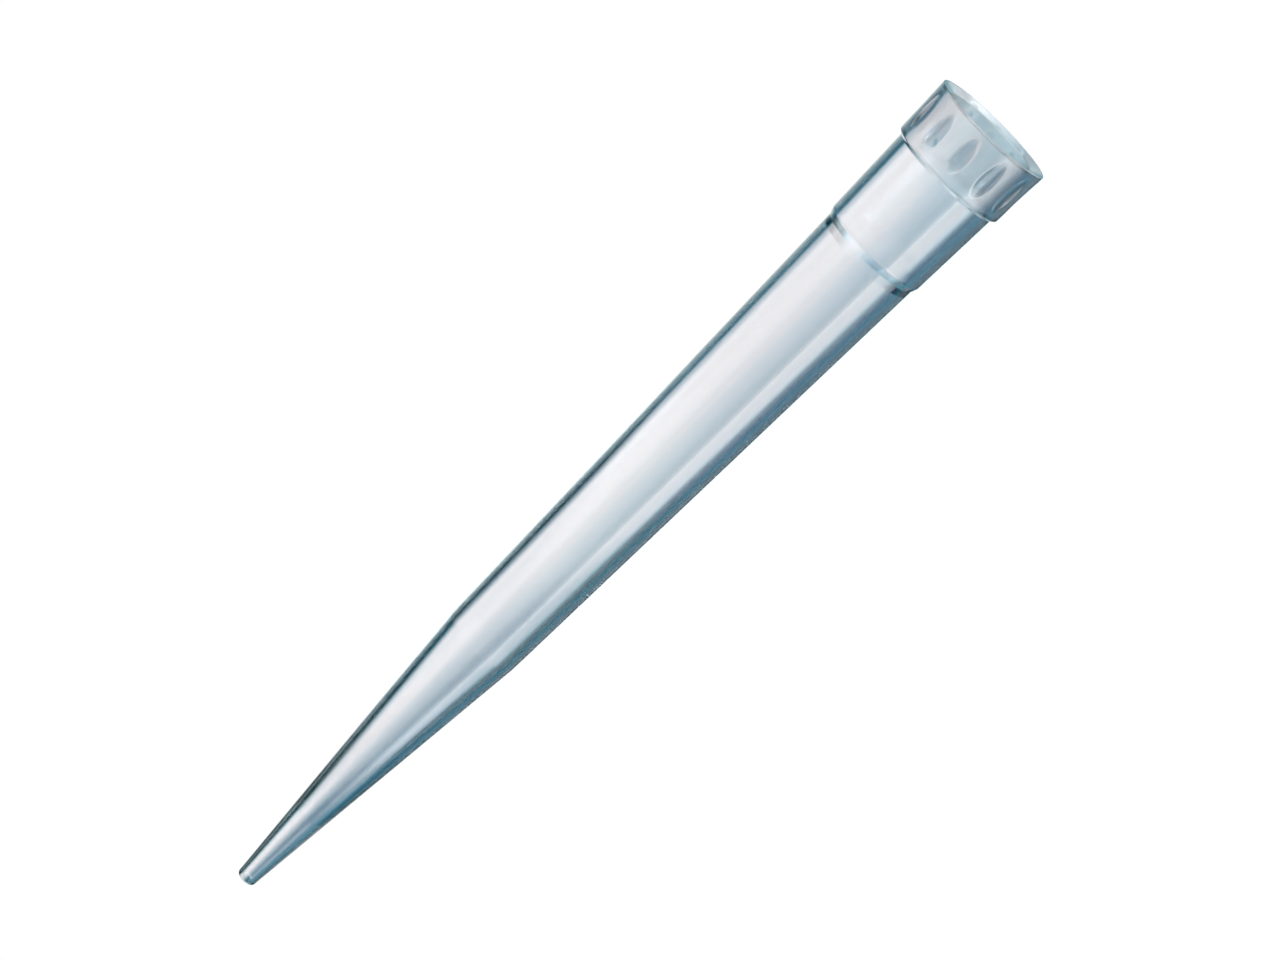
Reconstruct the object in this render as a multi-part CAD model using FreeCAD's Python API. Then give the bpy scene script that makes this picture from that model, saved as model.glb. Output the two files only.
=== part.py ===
"""Pipette tip, moulded in one piece, upright as it hangs on a pipette: mouth up, nozzle down.

It is a body of revolution about Z with flutes cut in its collar. Heights are measured from the nozzle end
while it is made. At the end it is lowered until the middle of its seal land, which the pipette's nose
grips, is at z = 0.
"""
import FreeCAD
import Part
import math
import os

# Overall
tip_length = 70.7

# Mouth and socket, where the pipette's nose is pushed in
seal_bore_diameter = 6.45
seal_bore_length = 3.3
lead_in_depth = 0.25
lip_width = 0.15
socket_floor_diameter = 6.11
socket_floor_height = 1.0
socket_wall = 0.54

# Collar round the mouth
collar_height = 3.8
collar_ledge = 0.28
collar_underside_height = 0.23
collar_flare = 0.11

# Leaf-shaped flutes round the collar
flute_count = 12
flute_width = 1.07
flute_depth = 0.18
flute_foot_land = 0.53
flute_head_land = 0.5
flute_fullest_share = 0.41

# Outer step between the socket and the reservoir
step_below_rim = 10.05
step_height = 0.45

# Reservoir, a long gentle taper
reservoir_top_bore = 5.66
reservoir_top_wall = 0.6
kink_bore = 4.46
kink_wall = 0.46

# Nozzle, a steeper taper
nozzle_length = 24.4
throat_bore = 1.54
throat_height = 6.7
orifice_bore = 0.8
orifice_wall = 0.29

# Edge roundings
rim_round = 0.05
collar_foot_round = 0.1
step_round = 0.1
kink_round = 4.0
nozzle_end_round = 0.09


def rounded_outline(corners):
    """A closed face in the XZ plane. Each corner is (height, radius, rounding), and 0 leaves it sharp."""
    edges = []
    ends = []
    count = len(corners)
    for i in range(count):
        here = FreeCAD.Vector(corners[i][1], 0, corners[i][0])
        before = FreeCAD.Vector(corners[i - 1][1], 0, corners[i - 1][0])
        after = FreeCAD.Vector(corners[(i + 1) % count][1], 0, corners[(i + 1) % count][0])
        rounding = corners[i][2]
        if rounding == 0:
            ends.append((here, here))
            continue
        back = (before - here).normalize()
        ahead = (after - here).normalize()
        half_angle = back.getAngle(ahead) / 2
        cut_back = rounding / math.tan(half_angle)
        start = here + back * cut_back
        finish = here + ahead * cut_back
        inwards = (back + ahead).normalize()
        middle = here + inwards * (rounding / math.sin(half_angle) - rounding)
        ends.append((start, finish))
        edges.append(Part.Arc(start, middle, finish).toShape())
    for i in range(count):
        start = ends[i][1]
        finish = ends[(i + 1) % count][0]
        edges.append(Part.makeLine(start, finish))
    return Part.Face(Part.Wire(Part.__sortEdges__(edges)))


def along(start, finish, height):
    """The radius at a height on the straight line between two (height, radius) points."""
    share = (height - start[0]) / (finish[0] - start[0])
    return start[1] + share * (finish[1] - start[1])


# Heights above the nozzle end
seal_top = tip_length - lead_in_depth
seal_foot = seal_top - seal_bore_length
seal_middle = (seal_top + seal_foot) / 2
collar_foot = tip_length - collar_height
body_head = collar_foot - collar_underside_height
step_top = tip_length - step_below_rim
step_foot = step_top - step_height
reservoir_top = step_top - socket_floor_height

# The bore, as (height, radius) points
orifice_point = (0, orifice_bore / 2)
throat_point = (throat_height, throat_bore / 2)
kink_bore_point = (nozzle_length, kink_bore / 2)
reservoir_top_point = (reservoir_top, reservoir_top_bore / 2)
socket_floor_point = (step_top, socket_floor_diameter / 2)
seal_foot_point = (seal_foot, seal_bore_diameter / 2)
seal_top_point = (seal_top, seal_bore_diameter / 2)

# The outside: each radius is the bore's plus the wall
nozzle_end_radius = orifice_bore / 2 + orifice_wall
kink_radius = kink_bore / 2 + kink_wall
step_foot_radius = reservoir_top_bore / 2 + reservoir_top_wall
step_top_radius = socket_floor_diameter / 2 + socket_wall
body_head_radius = along(socket_floor_point, seal_foot_point, body_head) + socket_wall
collar_foot_radius = body_head_radius + collar_ledge
rim_radius = collar_foot_radius + collar_flare

outside = [
    (0, nozzle_end_radius, nozzle_end_round),
    (nozzle_length, kink_radius, kink_round),
    (step_foot, step_foot_radius, step_round),
    (step_top, step_top_radius, step_round),
    (body_head, body_head_radius, 0),
    (collar_foot, collar_foot_radius, collar_foot_round),
    (tip_length, rim_radius, rim_round),
    (tip_length, rim_radius - lip_width, rim_round),
]
bore = [
    (*seal_top_point, 0),
    (*seal_foot_point, 0),
    (*socket_floor_point, 0),
    (*reservoir_top_point, 0),
    (*kink_bore_point, 0),
    (*throat_point, 0),
    (*orifice_point, 0),
]
origin = FreeCAD.Vector(0, 0, 0)
tip_axis = FreeCAD.Vector(0, 0, 1)
moulding = rounded_outline(outside + bore).revolve(origin, tip_axis, 360)


def flute_cutter():
    """A spindle whose cut in the collar is a leaf, fullest nearer the nozzle and pointed at the mouth."""
    foot = collar_foot + flute_foot_land
    head = tip_length - flute_head_land
    fullest = foot + flute_fullest_share * (head - foot)
    land_radius = along((collar_foot, collar_foot_radius), (tip_length, rim_radius), fullest)
    floor_radius = land_radius - flute_depth
    edge_offset = land_radius * math.cos(math.asin(flute_width / 2 / land_radius))
    gap_squared = land_radius**2 + floor_radius**2 - 2 * edge_offset * floor_radius
    spindle_radius = gap_squared / (2 * (edge_offset - floor_radius))

    def half_arc(run, side):
        """One side's arc: level at the fullest place, through the land after this run, down to the axis."""
        arc_radius = (run**2 + flute_depth**2) / (2 * flute_depth)
        end = math.sqrt(2 * arc_radius * spindle_radius - spindle_radius**2)
        half_turn = math.asin(end / arc_radius) / 2
        depth_there = arc_radius * (1 - math.cos(half_turn))
        top = FreeCAD.Vector(spindle_radius, 0, 0)
        middle = FreeCAD.Vector(spindle_radius - depth_there, 0, side * arc_radius * math.sin(half_turn))
        tip = FreeCAD.Vector(0, 0, side * end)
        return Part.Arc(top, middle, tip).toShape(), tip

    lower_arc, lower_tip = half_arc(fullest - foot, -1)
    upper_arc, upper_tip = half_arc(head - fullest, 1)
    spine = Part.makeLine(upper_tip, lower_tip)
    half_leaf = Part.Face(Part.Wire(Part.__sortEdges__([lower_arc, upper_arc, spine])))
    spindle = half_leaf.revolve(origin, tip_axis, 360)
    flare_angle = math.degrees(math.atan2(collar_flare, collar_height))
    spindle.rotate(origin, FreeCAD.Vector(0, 1, 0), flare_angle)
    spindle.translate(FreeCAD.Vector(floor_radius + spindle_radius, 0, fullest))
    return spindle


cutters = []
for i in range(flute_count):
    cutter = flute_cutter()
    cutter.rotate(origin, tip_axis, i * 360 / flute_count)
    cutters.append(cutter)
moulding = moulding.cut(cutters).Solids[0]
moulding.translate(FreeCAD.Vector(0, 0, -seal_middle))

os.makedirs("parts", exist_ok=True)
moulding.exportStep("parts/pipette_tip.step")
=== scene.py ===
"""Looks of the pipette tip: one clear moulding, mouth up, in soft studio light."""
import math

import bpy
import numpy as np
from mathutils import Matrix, Vector


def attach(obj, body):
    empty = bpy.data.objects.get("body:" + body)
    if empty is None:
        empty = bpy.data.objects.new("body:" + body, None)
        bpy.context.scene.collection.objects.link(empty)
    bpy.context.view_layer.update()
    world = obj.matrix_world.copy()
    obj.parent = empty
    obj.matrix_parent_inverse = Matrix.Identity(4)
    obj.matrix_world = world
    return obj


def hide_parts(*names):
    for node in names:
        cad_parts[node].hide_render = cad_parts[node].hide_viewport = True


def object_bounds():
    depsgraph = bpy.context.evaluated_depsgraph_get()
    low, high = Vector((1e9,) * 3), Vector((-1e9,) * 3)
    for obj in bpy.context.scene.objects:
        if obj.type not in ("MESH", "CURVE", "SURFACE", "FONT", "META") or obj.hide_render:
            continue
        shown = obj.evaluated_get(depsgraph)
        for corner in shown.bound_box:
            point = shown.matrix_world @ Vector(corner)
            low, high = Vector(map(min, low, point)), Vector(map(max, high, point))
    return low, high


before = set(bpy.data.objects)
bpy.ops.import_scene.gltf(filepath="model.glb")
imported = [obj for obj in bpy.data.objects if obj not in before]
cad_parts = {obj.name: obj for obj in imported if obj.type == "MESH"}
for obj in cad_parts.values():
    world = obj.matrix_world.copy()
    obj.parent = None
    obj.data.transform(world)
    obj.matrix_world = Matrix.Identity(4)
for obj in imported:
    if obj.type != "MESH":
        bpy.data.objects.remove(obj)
cad_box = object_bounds()

MM = 0.001

# Sizes of the moulding, in millimetres
TIP_LENGTH = 70.7
SEAL_BORE_DIAMETER = 6.45
SEAL_BORE_LENGTH = 3.3
LEAD_IN_DEPTH = 0.25
LIP_WIDTH = 0.15
SOCKET_FLOOR_DIAMETER = 6.11
SOCKET_WALL = 0.54
SOCKET_FLOOR_HEIGHT = 1.0
COLLAR_HEIGHT = 3.8
COLLAR_LEDGE = 0.28
COLLAR_UNDERSIDE_HEIGHT = 0.23
COLLAR_FLARE = 0.11
FLUTE_COUNT = 12
FLUTE_WIDTH = 1.07
FLUTE_DEPTH = 0.18
FLUTE_FOOT_LAND = 0.53
FLUTE_HEAD_LAND = 0.5
FLUTE_FULLEST_SHARE = 0.41
STEP_BELOW_RIM = 10.05
STEP_HEIGHT = 0.45
RESERVOIR_TOP_BORE = 5.66
RESERVOIR_TOP_WALL = 0.6
KINK_BORE = 4.46
KINK_WALL = 0.46
NOZZLE_LENGTH = 24.4
THROAT_BORE = 1.54
THROAT_HEIGHT = 6.7
ORIFICE_BORE = 0.8
ORIFICE_WALL = 0.29

# Edge roundings, in millimetres
RIM_ROUND = 0.05
COLLAR_FOOT_ROUND = 0.1
UNDERSIDE_ROUND = 0.03
STEP_ROUND = 0.1
KINK_ROUND = 4.0
NOZZLE_END_ROUND = 0.09
BORE_EDGE_ROUND = 0.06
LEDGE_ROUND = 0.05
FLUTE_EDGE_SOFTNESS = 0.012

# Finish: gloss on the body, satin on the collar, a light frost in the mouth's funnel
PLASTIC_IOR = 1.49
GLOSS_IOR = 2.5
GLOSS_ROUGHNESS = 0.03
HAZE_ROUGHNESS = 0.1
HAZE_SPREAD = 0.02
HAZE_SCALE = 900
HAZE_DETAIL = 3
SATIN_BLEND = 0.3
SATIN_ROUGHNESS = 0.15
SATIN_HAZE = 0.2
SATIN_CLARITY = 0.95
FUNNEL_CLARITY = 0.75
FLUTE_EDGE_SHARE = 0.6
FLUTE_GLOSS = 0.4
WALL_TINT = (0.88, 0.9, 0.92, 1)
# Painted shade in the flutes: a base colour darker and bluer than the wall's, standing in for the shade in
# these hollows
FLUTE_PAINTED_SHADE = (0.45, 0.58, 0.66, 1)
DEPTH_TINT = (0, 0.333, 0.42, 1)
DEPTH_DENSITY = 186

# Fineness of the mesh
ANGLES = 480
ARC_ROWS = 5
GUARD_GAP = 0.04
FLUTE_ROW_GAP = 0.06
LONG_ROW_GAP = 4.0


def along(start, finish, height):
    """Radius at a height on the straight line between two (height, radius) points."""
    share = (height - start[0]) / (finish[0] - start[0])
    return start[1] + share * (finish[1] - start[1])


# Heights above the nozzle end, in millimetres
SEAL_TOP = TIP_LENGTH - LEAD_IN_DEPTH
SEAL_FOOT = SEAL_TOP - SEAL_BORE_LENGTH
SEAL_MIDDLE = (SEAL_TOP + SEAL_FOOT) / 2
COLLAR_FOOT = TIP_LENGTH - COLLAR_HEIGHT
BODY_HEAD = COLLAR_FOOT - COLLAR_UNDERSIDE_HEIGHT
STEP_TOP = TIP_LENGTH - STEP_BELOW_RIM
STEP_FOOT = STEP_TOP - STEP_HEIGHT
RESERVOIR_TOP = STEP_TOP - SOCKET_FLOOR_HEIGHT

# Radii of the outside, in millimetres
SOCKET_LINE = ((STEP_TOP, SOCKET_FLOOR_DIAMETER / 2), (SEAL_FOOT, SEAL_BORE_DIAMETER / 2))
NOZZLE_END_RADIUS = ORIFICE_BORE / 2 + ORIFICE_WALL
KINK_RADIUS = KINK_BORE / 2 + KINK_WALL
STEP_FOOT_RADIUS = RESERVOIR_TOP_BORE / 2 + RESERVOIR_TOP_WALL
STEP_TOP_RADIUS = SOCKET_FLOOR_DIAMETER / 2 + SOCKET_WALL
BODY_HEAD_RADIUS = along(*SOCKET_LINE, BODY_HEAD) + SOCKET_WALL
COLLAR_FOOT_RADIUS = BODY_HEAD_RADIUS + COLLAR_LEDGE
RIM_RADIUS = COLLAR_FOOT_RADIUS + COLLAR_FLARE

# The section as (height, radius, rounding) corners: up the outside, over the lip and down the bore
SECTION = [
    (0, NOZZLE_END_RADIUS, NOZZLE_END_ROUND),
    (NOZZLE_LENGTH, KINK_RADIUS, KINK_ROUND),
    (STEP_FOOT, STEP_FOOT_RADIUS, STEP_ROUND),
    (STEP_TOP, STEP_TOP_RADIUS, STEP_ROUND),
    (BODY_HEAD, BODY_HEAD_RADIUS, UNDERSIDE_ROUND),
    (COLLAR_FOOT, COLLAR_FOOT_RADIUS, COLLAR_FOOT_ROUND),
    (TIP_LENGTH, RIM_RADIUS, RIM_ROUND),
    (TIP_LENGTH, RIM_RADIUS - LIP_WIDTH, RIM_ROUND),
    (SEAL_TOP, SEAL_BORE_DIAMETER / 2, BORE_EDGE_ROUND),
    (SEAL_FOOT, SEAL_BORE_DIAMETER / 2, BORE_EDGE_ROUND),
    (STEP_TOP, SOCKET_FLOOR_DIAMETER / 2, LEDGE_ROUND),
    (RESERVOIR_TOP, RESERVOIR_TOP_BORE / 2, LEDGE_ROUND),
    (NOZZLE_LENGTH, KINK_BORE / 2, KINK_ROUND),
    (THROAT_HEIGHT, THROAT_BORE / 2, KINK_ROUND),
    (0, ORIFICE_BORE / 2, BORE_EDGE_ROUND),
]


def corner_arc(before, here, after, rounding):
    """Points on a corner's rounding: the circle of that radius that touches both straight runs, from the
    one touching point to the other, at even angles about its centre."""
    back = (before - here) / np.linalg.norm(before - here)
    ahead = (after - here) / np.linalg.norm(after - here)
    half_angle = math.acos(float(np.clip(back @ ahead, -1, 1))) / 2
    inwards = (back + ahead) / np.linalg.norm(back + ahead)
    centre = here + inwards * rounding / math.sin(half_angle)
    start = here + back * rounding / math.tan(half_angle) - centre
    finish = here + ahead * rounding / math.tan(half_angle) - centre
    sweep = math.pi - 2 * half_angle
    share = np.linspace(0, 1, ARC_ROWS)[:, None]
    return centre + (start * np.sin((1 - share) * sweep) + finish * np.sin(share * sweep)) / math.sin(sweep)


def straight_rows(start, finish):
    """Points between two ends of a straight run: one a guard gap from each end, and even ones between,
    close together where the flutes are and far apart elsewhere."""
    length = np.linalg.norm(finish - start)
    if length < 3 * GUARD_GAP:
        return np.empty((0, 2))
    on_collar = start[1] > BODY_HEAD_RADIUS and min(start[0], finish[0]) > BODY_HEAD
    on_flutes = on_collar and length > COLLAR_HEIGHT / 2
    gap = FLUTE_ROW_GAP if on_flutes else LONG_ROW_GAP
    count = max(2, int(math.ceil(length / gap)) + 1)
    share = np.linspace(GUARD_GAP / length, 1 - GUARD_GAP / length, count)[:, None]
    return start + share * (finish - start)


def section_rows(corners):
    """The closed section as (height, radius) rows: each corner's arc, then the straight run to the next."""
    points = [np.array(c[:2], float) for c in corners]
    arcs = [
        corner_arc(points[i - 1], points[i], points[(i + 1) % len(points)], corners[i][2])
        for i in range(len(points))
    ]
    rows = []
    for i, arc in enumerate(arcs):
        rows.append(arc)
        rows.append(straight_rows(arc[-1], arcs[(i + 1) % len(arcs)][0]))
    return np.concatenate(rows)


def fluted_radius(height, land, turn):
    """Radius of the collar where its flutes are cut: the lesser of the land's radius and of the near side
    of a spindle. The spindle's axis stands at D = land - depth + spindle radius, its own radius p falls from
    its middle along one arc towards each end, and its near side is D cos(turn) - sqrt(p^2 - D^2 sin(turn)^2).
    The lesser of the two is taken smoothly, so that the flute's edge is a little soft."""
    foot = COLLAR_FOOT + FLUTE_FOOT_LAND
    head = TIP_LENGTH - FLUTE_HEAD_LAND
    fullest = foot + FLUTE_FULLEST_SHARE * (head - foot)
    land_at_fullest = along((COLLAR_FOOT, COLLAR_FOOT_RADIUS), (TIP_LENGTH, RIM_RADIUS), fullest)
    floor = land_at_fullest - FLUTE_DEPTH
    edge_offset = land_at_fullest * math.cos(math.asin(FLUTE_WIDTH / 2 / land_at_fullest))
    spindle = (land_at_fullest**2 + floor**2 - 2 * edge_offset * floor) / (2 * (edge_offset - floor))
    run = np.where(height < fullest, fullest - foot, head - fullest)
    arc = (run**2 + FLUTE_DEPTH**2) / (2 * FLUTE_DEPTH)
    fall = arc - np.sqrt(np.maximum(arc**2 - (height - fullest) ** 2, 0))
    p = np.maximum(spindle - fall, 0)
    reach = land - FLUTE_DEPTH + spindle
    cut = reach * np.cos(turn) - np.sqrt(np.maximum(p**2 - (reach * np.sin(turn)) ** 2, 0))
    gap = np.abs(cut - land)
    return np.minimum(cut, land) - FLUTE_EDGE_SOFTNESS * np.log1p(np.exp(-gap / FLUTE_EDGE_SOFTNESS))


def closed_grid(name, points, shares):
    """A mesh from a grid of points that closes on itself both ways, rows by angles, in four-sided faces. Each
    named share is kept at its points as an attribute."""
    rows, columns = points.shape[:2]
    row = np.arange(rows)[:, None]
    column = np.arange(columns)[None, :]
    next_row = (row + 1) % rows
    next_column = (column + 1) % columns
    corners = [row * columns + column, row * columns + next_column,
               next_row * columns + next_column, next_row * columns + column]
    faces = np.stack(np.broadcast_arrays(*corners), axis=-1).reshape(-1, 4)
    mesh = bpy.data.meshes.new(name)
    mesh.vertices.add(rows * columns)
    mesh.vertices.foreach_set("co", points.reshape(-1).astype(np.float32))
    mesh.loops.add(faces.size)
    mesh.loops.foreach_set("vertex_index", faces.reshape(-1).astype(np.int32))
    mesh.polygons.add(len(faces))
    mesh.polygons.foreach_set("loop_start", np.arange(0, faces.size, 4, dtype=np.int32))
    mesh.polygons.foreach_set("use_smooth", np.ones(len(faces), bool))
    for share_name, share in shares.items():
        attribute = mesh.attributes.new(share_name, "FLOAT", "POINT")
        attribute.data.foreach_set("value", share.reshape(-1).astype(np.float32))
    mesh.update()
    mesh.validate()
    return mesh


def moulding_points():
    """The whole surface: each section row turned about Z, with radius r(row, turn), so that
    x = r cos(turn), y = r sin(turn) and z = height - middle of the seal land. With it come two shares: how
    deep each point lies in a flute, of the flute's full depth, and whether it lies on the mouth's funnel."""
    rows = section_rows(SECTION)
    height = rows[:, :1]
    radius = rows[:, 1:]
    turn = np.linspace(0, 2 * math.pi, ANGLES, endpoint=False)[None, :]
    pitch = 2 * math.pi / FLUTE_COUNT
    from_flute = (turn + pitch / 2) % pitch - pitch / 2
    fluted = fluted_radius(height, radius, from_flute)
    outside_collar = height > COLLAR_FOOT + FLUTE_FOOT_LAND / 2
    outside_collar &= height < TIP_LENGTH - FLUTE_HEAD_LAND / 2
    outside_collar &= radius > COLLAR_FOOT_RADIUS
    hollow = np.where(outside_collar, (radius - fluted) / FLUTE_DEPTH, 0)
    funnel = np.where((height > SEAL_TOP) & (radius < RIM_RADIUS - LIP_WIDTH), 1.0, 0.0) + 0 * turn
    radius = np.where(outside_collar, fluted, radius)
    height = np.broadcast_to(height, radius.shape)
    points = np.stack([radius * np.cos(turn), radius * np.sin(turn), height - SEAL_MIDDLE], axis=-1) * MM
    return points, {"hollow": np.clip(hollow, 0, 1), "funnel": funnel}


def clear_plastic():
    """Clear polypropylene with a faint blue-green colour: gloss, with a little haze in the wall, a satin
    collar and a lightly frosted funnel. The share of satin rises evenly from none to full over a short height
    at the collar's foot. The flutes are less glossy the deeper they are, and painted shade darkens their
    colour the deeper they are."""
    material = bpy.data.materials.new("clear_polypropylene")
    material.use_nodes = True
    nodes = material.node_tree.nodes
    links = material.node_tree.links
    shader = nodes["Principled BSDF"]
    shader.inputs["IOR"].default_value = PLASTIC_IOR
    shader.inputs["Coat Weight"].default_value = 1.0
    shader.inputs["Coat IOR"].default_value = GLOSS_IOR
    shader.inputs["Coat Roughness"].default_value = GLOSS_ROUGHNESS

    where = nodes.new("ShaderNodeTexCoord")
    place = nodes.new("ShaderNodeSeparateXYZ")
    links.new(where.outputs["Object"], place.inputs["Vector"])
    satin = nodes.new("ShaderNodeMapRange")
    satin.inputs["From Min"].default_value = (COLLAR_FOOT - SEAL_MIDDLE) * MM
    satin.inputs["From Max"].default_value = (COLLAR_FOOT - SEAL_MIDDLE + SATIN_BLEND) * MM
    links.new(place.outputs["Z"], satin.inputs["Value"])

    def between(plain, frosted, socket):
        """Give a socket the plain value on the body and the frosted one on the collar."""
        mix = nodes.new("ShaderNodeMapRange")
        mix.inputs["To Min"].default_value = plain
        mix.inputs["To Max"].default_value = frosted
        links.new(satin.outputs["Result"], mix.inputs["Value"])
        links.new(mix.outputs["Result"], socket)

    flute = nodes.new("ShaderNodeAttribute")
    flute.attribute_name = "hollow"
    gloss = nodes.new("ShaderNodeMapRange")
    gloss.interpolation_type = "SMOOTHSTEP"
    gloss.inputs["From Max"].default_value = FLUTE_EDGE_SHARE
    gloss.inputs["To Min"].default_value = 1.0
    gloss.inputs["To Max"].default_value = FLUTE_GLOSS
    links.new(flute.outputs["Fac"], gloss.inputs["Value"])
    links.new(gloss.outputs["Result"], shader.inputs["Coat Weight"])
    # Painted shade: the base colour runs from the wall's own colour to a darker blue the deeper a point lies
    # in a flute
    wall_tint_and_flute_shade = nodes.new("ShaderNodeMix")
    wall_tint_and_flute_shade.data_type = "RGBA"
    wall_tint_and_flute_shade.inputs["A"].default_value = WALL_TINT
    wall_tint_and_flute_shade.inputs["B"].default_value = FLUTE_PAINTED_SHADE
    depth_share = nodes.new("ShaderNodeMapRange")
    depth_share.interpolation_type = "SMOOTHSTEP"
    depth_share.inputs["From Max"].default_value = FLUTE_EDGE_SHARE
    links.new(flute.outputs["Fac"], depth_share.inputs["Value"])
    links.new(depth_share.outputs["Result"], wall_tint_and_flute_shade.inputs["Factor"])
    links.new(wall_tint_and_flute_shade.outputs["Result"], shader.inputs["Base Color"])
    between(GLOSS_ROUGHNESS, SATIN_ROUGHNESS, shader.inputs["Coat Roughness"])
    funnel = nodes.new("ShaderNodeAttribute")
    funnel.attribute_name = "funnel"
    frosted = nodes.new("ShaderNodeMath")
    frosted.operation = "MULTIPLY_ADD"
    frosted.inputs[1].default_value = FUNNEL_CLARITY - SATIN_CLARITY
    links.new(funnel.outputs["Fac"], frosted.inputs[0])
    between(1.0, SATIN_CLARITY, frosted.inputs[2])
    links.new(frosted.outputs["Value"], shader.inputs["Transmission Weight"])

    haze = nodes.new("ShaderNodeTexNoise")
    haze.inputs["Scale"].default_value = HAZE_SCALE
    haze.inputs["Detail"].default_value = HAZE_DETAIL
    links.new(where.outputs["Object"], haze.inputs["Vector"])
    wall = nodes.new("ShaderNodeMapRange")
    wall.inputs["To Min"].default_value = HAZE_ROUGHNESS - HAZE_SPREAD
    wall.inputs["To Max"].default_value = HAZE_ROUGHNESS + HAZE_SPREAD
    links.new(haze.outputs["Fac"], wall.inputs["Value"])
    frost = nodes.new("ShaderNodeMath")
    frost.operation = "MULTIPLY_ADD"
    frost.inputs[1].default_value = SATIN_HAZE - HAZE_ROUGHNESS
    links.new(satin.outputs["Result"], frost.inputs[0])
    links.new(wall.outputs["Result"], frost.inputs[2])
    links.new(frost.outputs["Value"], shader.inputs["Roughness"])

    depth = nodes.new("ShaderNodeVolumeAbsorption")
    depth.inputs["Color"].default_value = DEPTH_TINT
    depth.inputs["Density"].default_value = DEPTH_DENSITY
    links.new(depth.outputs["Volume"], nodes["Material Output"].inputs["Volume"])
    return material


moulding = bpy.data.objects.new("tip_moulding", closed_grid("tip_moulding", *moulding_points()))
bpy.context.scene.collection.objects.link(moulding)
moulding.data.materials.append(clear_plastic())
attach(moulding, "root")
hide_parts("pipette_tip")

# Camera: above the tip's middle, looking down on it a little, rolled so that the mouth is at the upper right
CAMERA_BEARING = math.radians(-87.8)
CAMERA_ELEVATION = math.radians(17.54)
CAMERA_DISTANCE = 172.2
CAMERA_ROLL = math.radians(45.05)
AIM_HEIGHT = 39.53
AIM_SIDE = -0.15
LENS = 76.84

level = Vector((math.cos(CAMERA_BEARING), math.sin(CAMERA_BEARING), 0))
aside = Vector((0, 0, 1)).cross(level)
backward = level * math.cos(CAMERA_ELEVATION) + Vector((0, 0, math.sin(CAMERA_ELEVATION)))
upward = aside.cross(backward) * -1
right = upward * math.cos(CAMERA_ROLL) + aside * math.sin(CAMERA_ROLL)
top = upward * math.sin(CAMERA_ROLL) - aside * math.cos(CAMERA_ROLL)
aim = Vector((0, 0, (AIM_HEIGHT - SEAL_MIDDLE) * MM)) + aside * AIM_SIDE * MM
camera_data = bpy.data.cameras.new("studio_camera")
camera_data.lens = LENS
camera_data.clip_start = 0.01
camera_data.clip_end = 50
camera = bpy.data.objects.new("studio_camera", camera_data)
bpy.context.scene.collection.objects.link(camera)
turned = Matrix((right, top, backward)).transposed().to_4x4()
camera.matrix_world = Matrix.Translation(aim + backward * CAMERA_DISTANCE * MM) @ turned
bpy.context.scene.camera = camera

# Floor: white to the camera, with the object's shadow kept
FLOOR_DROP = 40.0
FLOOR_HALF_WIDTH = 15000.0
FLOOR_PALE = 0.8
FLOOR_LIFT = 0.28


def white_backdrop():
    """A matt pale surface, with the little that its colour falls short of white added for the camera."""
    material = bpy.data.materials.new("white_backdrop")
    material.use_nodes = True
    nodes = material.node_tree.nodes
    links = material.node_tree.links
    shader = nodes["Principled BSDF"]
    shader.inputs["Base Color"].default_value = (FLOOR_PALE, FLOOR_PALE, FLOOR_PALE, 1)
    shader.inputs["Roughness"].default_value = 1.0
    shader.inputs["Specular IOR Level"].default_value = 0.0
    shader.inputs["Emission Color"].default_value = (1, 1, 1, 1)
    ray = nodes.new("ShaderNodeLightPath")
    rest = nodes.new("ShaderNodeMath")
    rest.operation = "MULTIPLY"
    rest.inputs[1].default_value = FLOOR_LIFT
    links.new(ray.outputs["Is Camera Ray"], rest.inputs[0])
    links.new(rest.outputs["Value"], shader.inputs["Emission Strength"])
    return material


def flat_floor(name, height, half_width):
    """One level square about the tip's axis, facing up."""
    mesh = bpy.data.meshes.new(name)
    corners = np.array([(-1, -1), (1, -1), (1, 1), (-1, 1)]) * half_width
    mesh.from_pydata([(x, y, height) for x, y in corners], [], [(0, 1, 2, 3)])
    return bpy.data.objects.new(name, mesh)


floor = flat_floor("floor", cad_box[0][2] - FLOOR_DROP * MM, FLOOR_HALF_WIDTH * MM)
bpy.context.scene.collection.objects.link(floor)
floor.data.materials.append(white_backdrop())
floor.visible_glossy = False
floor.visible_transmission = False

# Panels round the tip, seen only in its gloss and through it. Each row of light is given as stops of
# (bearing from the camera in degrees, light in red, green and blue).
PANEL_DISTANCE = 300.0
PANEL_TILT = 62.0
# Beside the reservoir and the socket
BODY_STOPS = [
    (-180, 0.5, 0.67, 0.74), (-167, 0.73, 0.72, 0.66), (-164, 0.7, 0.68, 0.62), (-160, 0.69, 0.71, 0.68),
    (-152, 0.37, 0.51, 0.56), (-140, 0.09, 0.22, 0.32), (-124, 0.0, 0.0, 0.0), (-118, 0.0, 0.37, 0.52),
    (-111, 1.4, 1.48, 1.59), (-108, 1.56, 1.55, 1.64), (-90, 1.99, 1.79, 1.77), (-50, 1.75, 1.49, 1.45),
    (-30, 1.74, 1.53, 1.48), (-14, 1.59, 1.35, 1.31), (-6, 1.28, 1.16, 1.15), (10, 0.99, 0.93, 0.98),
    (30, 0.57, 0.59, 0.65), (46, 0.58, 0.54, 0.6), (48, 1.41, 1.23, 1.19), (62, 1.21, 1.06, 1.06),
    (74, 1.22, 0.96, 0.96), (80, 0.98, 1.05, 1.1), (100, 0.0, 0.02, 0.13), (120, 0.1, 0.35, 0.48),
    (140, 0.22, 0.23, 0.28), (160, 0.0, 0.04, 0.06), (166, 0.0, 0.31, 0.39), (168, 0.68, 0.84, 0.86),
    (172, 0.45, 0.69, 0.73), (180, 0.5, 0.67, 0.74),
]
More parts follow.
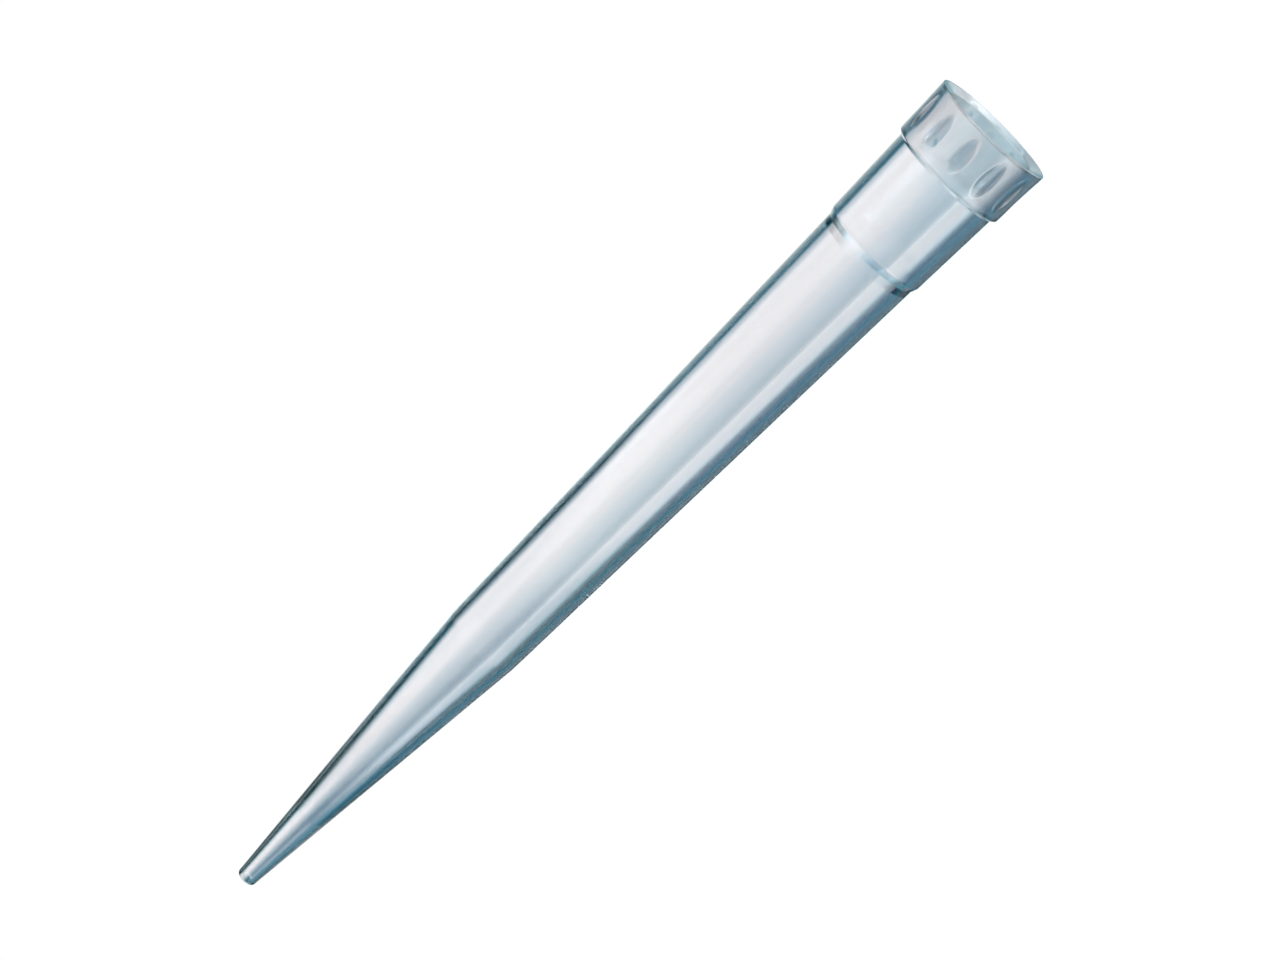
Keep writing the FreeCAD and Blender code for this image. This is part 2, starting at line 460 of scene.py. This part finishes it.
# Beside the reservoir's lower part
LOWER_STOPS = [
    (-180, 0.57, 0.78, 0.8), (-172, 0.9, 0.96, 0.96), (-164, 1.25, 1.26, 1.21), (-160, 1.01, 1.07, 1.06),
    (-152, 0.32, 0.52, 0.6), (-140, 0.03, 0.06, 0.08), (-118, 0.0, 0.0, 0.0), (-111, 0.29, 0.51, 0.64),
    (-108, 0.37, 0.59, 0.74), (-92, 1.68, 1.46, 1.44), (-90, 1.72, 1.5, 1.47), (-70, 1.51, 1.36, 1.37),
    (-30, 1.58, 1.36, 1.34), (-6, 0.9, 0.81, 0.89), (10, 0.68, 0.65, 0.72), (18, 0.34, 0.34, 0.42),
    (30, 0.14, 0.14, 0.28), (46, 0.18, 0.21, 0.32), (48, 0.99, 0.9, 0.95), (50, 1.02, 0.93, 0.99),
    (62, 0.7, 0.72, 0.78), (74, 0.68, 0.54, 0.57), (80, 0.57, 0.86, 0.93), (100, 0.0, 0.0, 0.0),
    (120, 0.01, 0.25, 0.35), (140, 0.29, 0.32, 0.37), (156, 0.0, 0.01, 0.02), (160, 0.0, 0.0, 0.0),
    (166, 0.0, 0.23, 0.37), (168, 0.6, 0.8, 0.87), (172, 0.5, 0.74, 0.8), (180, 0.57, 0.78, 0.8),
]
# Beside the kink
KINK_STOPS = [
    (-180, 0.73, 0.9, 0.91), (-164, 1.36, 1.34, 1.31), (-160, 1.12, 1.15, 1.15), (-152, 0.29, 0.55, 0.66),
    (-140, 0.0, 0.0, 0.0), (-118, 0.0, 0.0, 0.0), (-108, 0.01, 0.4, 0.56), (-92, 1.71, 1.48, 1.43),
    (-70, 1.38, 1.27, 1.26), (-50, 1.51, 1.27, 1.27), (-30, 1.44, 1.25, 1.22), (-14, 0.95, 0.92, 0.98),
    (-6, 0.78, 0.72, 0.8), (10, 0.49, 0.52, 0.57), (18, 0.16, 0.24, 0.34), (30, 0.0, 0.0, 0.13),
    (46, 0.06, 0.12, 0.22), (48, 0.82, 0.78, 0.85), (50, 0.86, 0.83, 0.9), (62, 0.48, 0.57, 0.63),
    (74, 0.44, 0.39, 0.44), (80, 0.38, 0.66, 0.73), (100, 0.0, 0.0, 0.0), (120, 0.0, 0.23, 0.35),
    (140, 0.27, 0.31, 0.33), (156, 0.0, 0.0, 0.0), (160, 0.0, 0.0, 0.0), (166, 0.0, 0.2, 0.39),
    (168, 0.67, 0.83, 0.9), (180, 0.73, 0.9, 0.91),
]
# Beside the nozzle's upper part
THROAT_STOPS = [
    (-180, 0.04, 0.0, 0.0), (-172, 0.32, 0.46, 0.53), (-164, 0.47, 0.51, 0.54), (-156, 0.68, 0.69, 0.71),
    (-145, 0.0, 0.09, 0.14), (-108, 0.0, 0.0, 0.0), (-100, 0.29, 0.52, 0.6), (-90, 1.22, 1.47, 1.61),
    (-70, 2.23, 1.89, 1.83), (-50, 1.66, 1.45, 1.38), (-30, 1.71, 1.65, 1.64), (-14, 1.44, 1.52, 1.61),
    (-6, 1.12, 1.25, 1.35), (2, 0.96, 1.14, 1.3), (30, 0.3, 0.56, 0.74), (44, 0.64, 0.91, 1.07),
    (50, 1.08, 1.36, 1.48), (62, 1.19, 1.3, 1.4), (74, 1.13, 1.43, 1.64), (80, 0.1, 0.33, 0.45),
    (100, 0.0, 0.0, 0.0), (120, 0.16, 0.42, 0.56), (140, 0.05, 0.13, 0.21), (156, 0.09, 0.21, 0.26),
    (164, 0.0, 0.0, 0.0), (180, 0.04, 0.0, 0.0),
]
# Beside the nozzle's end
FOOT_STOPS = [
    (-180, 0.0, 0.12, 0.07), (-170, 0.0, 0.08, 0.13), (-164, 0.36, 0.34, 0.31), (-156, 0.59, 0.52, 0.53),
    (-145, 0.0, 0.05, 0.02), (-90, 0.0, 0.0, 0.02), (-80, 0.41, 0.77, 0.84), (-70, 1.37, 1.7, 1.78),
    (-50, 2.14, 1.96, 2.01), (-30, 2.18, 2.01, 1.94), (-14, 1.66, 1.62, 1.71), (-6, 1.0, 1.15, 1.28),
    (2, 0.72, 0.92, 1.02), (10, 0.22, 0.56, 0.78), (18, 0.0, 0.32, 0.56), (30, 0.0, 0.1, 0.28),
    (44, 0.0, 0.22, 0.44), (50, 0.25, 0.58, 0.8), (62, 0.15, 0.38, 0.55), (74, 0.2, 0.4, 0.53),
    (80, 0.3, 0.65, 0.8), (100, 0.0, 0.22, 0.37), (120, 0.08, 0.18, 0.26), (140, 0.0, 0.0, 0.0),
    (156, 0.11, 0.24, 0.27), (164, 0.0, 0.0, 0.0), (180, 0.0, 0.12, 0.06),
]
# Beside the collar
COLLAR_STOPS = [
    (-180, 0.1, 0.3, 0.4), (-150, 0.1, 0.3, 0.4), (-118, 0.0, 0.2, 0.3), (-106, 0.0, 0.2, 0.3),
    (-89, 0.1, 0.3, 0.4), (-74, 0.5, 0.75, 0.85), (-60, 0.85, 1.05, 1.15), (-47, 1.3, 1.45, 1.5),
    (-30, 1.2, 1.3, 1.35), (-14, 1.0, 1.1, 1.2), (0, 0.85, 0.98, 1.05), (12, 0.85, 0.98, 1.05),
    (30, 0.7, 0.88, 0.97), (42, 0.65, 0.85, 0.92), (52, 1.8, 1.95, 2.05), (74, 2.1, 2.25, 2.35),
    (80, 1.3, 1.45, 1.5), (88, 0.5, 0.7, 0.85), (96, 0.1, 0.25, 0.35), (110, 0.1, 0.3, 0.4),
    (180, 0.1, 0.3, 0.4),
]
# High up, seen in the mouth
SKY_STOPS = [
    (-180, 0.7, 0.85, 0.95), (-165, 0.3, 0.5, 0.6), (-150, 0.0, 0.15, 0.25), (-120, 0.0, 0.15, 0.25),
    (-90, 1.4, 1.4, 1.4), (-14, 1.4, 1.4, 1.4), (14, 1.0, 1.0, 1.0), (90, 1.0, 1.0, 1.0),
    (110, 1.5, 1.5, 1.5), (150, 1.5, 1.5, 1.5), (165, 1.2, 1.25, 1.3), (180, 0.7, 0.85, 0.95),
]
# Low down, seen in the ledges
GROUND_STOPS = [
    (-180, 1.0, 1.1, 1.2), (-165, 0.6, 0.8, 0.9), (-150, 0.2, 0.4, 0.5), (-110, 0.1, 0.3, 0.4),
    (-80, 1.5, 1.5, 1.5), (-30, 1.7, 1.6, 1.6), (-14, 1.5, 1.4, 1.4), (-6, 1.2, 1.2, 1.2),
    (30, 0.7, 0.8, 0.9), (46, 0.7, 0.8, 0.9), (50, 1.3, 1.3, 1.3), (74, 1.3, 1.3, 1.3), (84, 0.3, 0.5, 0.6),
    (110, 0.5, 0.7, 0.8), (130, 1.8, 1.8, 1.8), (165, 1.8, 1.8, 1.8), (180, 1.0, 1.1, 1.2),
]
# The rows from the bottom up, as (height in millimetres, stops)
PANEL_ROWS = [
    (-2500, GROUND_STOPS), (-420, GROUND_STOPS), (-360, FOOT_STOPS), (-290, FOOT_STOPS), (-265, THROAT_STOPS),
    (-241, KINK_STOPS), (-218, LOWER_STOPS), (-178, LOWER_STOPS), (-160, BODY_STOPS), (-70, BODY_STOPS),
    (-56, COLLAR_STOPS), (-30, COLLAR_STOPS), (0, BODY_STOPS), (60, SKY_STOPS), (2500, SKY_STOPS),
]


def curved_panel(name, rows):
    """A band of a cylinder about the tip's axis, facing it, with a column at each whole degree of bearing b
    and a row at each height h. A point stands at height h + tilt (1 - cos b) / 2, so the band is lifted
    behind the tip. Each row's light runs evenly from stop to stop, and from row to row."""
    bearing = np.arange(-180.0, 181.0)
    turn = CAMERA_BEARING + np.radians(bearing)
    ring = np.stack([np.cos(turn), np.sin(turn), np.zeros_like(turn)], axis=-1) * PANEL_DISTANCE
    lift = PANEL_TILT * (1 - np.cos(np.radians(bearing))) / 2
    height = np.array([row[0] for row in rows], float)[:, None] + lift
    points = ring[None] + height[:, :, None] * np.array([0, 0, 1])
    light = np.stack([
        np.stack([np.interp(bearing, stops[:, 0], stops[:, 1 + band]) for band in range(3)], axis=-1)
        for stops in (np.array(row[1], float) for row in rows)
    ])
    count = len(bearing)
    corner = (np.arange(len(rows) - 1)[:, None] * count + np.arange(count - 1)[None, :]).reshape(-1)
    faces = np.stack([corner, corner + count, corner + count + 1, corner + 1], axis=-1)
    mesh = bpy.data.meshes.new(name)
    mesh.from_pydata((points.reshape(-1, 3) * MM).tolist(), [], faces.tolist())
    attribute = mesh.attributes.new("light", "FLOAT_VECTOR", "POINT")
    attribute.data.foreach_set("vector", light.reshape(-1).astype(np.float32))
    return bpy.data.objects.new(name, mesh)


def panel_light():
    """Light of the panel's own brightness at each place."""
    material = bpy.data.materials.new("panel_light")
    material.use_nodes = True
    nodes = material.node_tree.nodes
    links = material.node_tree.links
    nodes.remove(nodes["Principled BSDF"])
    glow = nodes.new("ShaderNodeEmission")
    place = nodes.new("ShaderNodeAttribute")
    place.attribute_name = "light"
    links.new(place.outputs["Vector"], glow.inputs["Color"])
    links.new(glow.outputs["Emission"], nodes["Material Output"].inputs["Surface"])
    return material


panels = curved_panel("studio_panels", PANEL_ROWS)
bpy.context.scene.collection.objects.link(panels)
panels.data.materials.append(panel_light())
panels.visible_camera = False
panels.visible_diffuse = False
panels.visible_shadow = False
panels.visible_volume_scatter = False

# World: white as a background, and a plain soft light
WORLD_LEVEL = 0.8


def soft_world():
    """White to the camera, in gloss and through the plastic, and a plain level of light elsewhere."""
    world = bpy.data.worlds.new("studio")
    world.use_nodes = True
    nodes = world.node_tree.nodes
    links = world.node_tree.links
    ray = nodes.new("ShaderNodeLightPath")
    seen = nodes.new("ShaderNodeMath")
    seen.operation = "MAXIMUM"
    links.new(ray.outputs["Is Camera Ray"], seen.inputs[0])
    links.new(ray.outputs["Is Glossy Ray"], seen.inputs[1])
    shown = nodes.new("ShaderNodeMath")
    shown.operation = "MAXIMUM"
    links.new(seen.outputs["Value"], shown.inputs[0])
    links.new(ray.outputs["Is Transmission Ray"], shown.inputs[1])
    level = nodes.new("ShaderNodeMapRange")
    level.inputs["To Min"].default_value = WORLD_LEVEL
    level.inputs["To Max"].default_value = 1.0
    links.new(shown.outputs["Value"], level.inputs["Value"])
    links.new(level.outputs["Result"], nodes["Background"].inputs["Strength"])
    nodes["Background"].inputs["Color"].default_value = (1, 1, 1, 1)
    return world


bpy.context.scene.world = soft_world()

# Softbox: a broad soft lamp on the camera's left, from above
SOFTBOX_BEARING = math.radians(-60)
SOFTBOX_RISE = math.radians(50)
SOFTBOX_BREADTH = math.radians(40)
SOFTBOX_STRENGTH = 0.5
softbox_data = bpy.data.lights.new("softbox", "SUN")
softbox_data.angle = SOFTBOX_BREADTH
softbox_data.energy = SOFTBOX_STRENGTH
softbox = bpy.data.objects.new("softbox", softbox_data)
bpy.context.scene.collection.objects.link(softbox)
softbox_turn = CAMERA_BEARING + SOFTBOX_BEARING
softbox_from = Vector((
    math.cos(softbox_turn) * math.cos(SOFTBOX_RISE),
    math.sin(softbox_turn) * math.cos(SOFTBOX_RISE),
    math.sin(SOFTBOX_RISE),
))
softbox.location = softbox_from
softbox.rotation_euler = softbox_from.to_track_quat("Z", "Y").to_euler()
softbox.visible_camera = False
softbox.visible_glossy = False
softbox.visible_transmission = False

bpy.context.scene.view_settings.view_transform = "Standard"
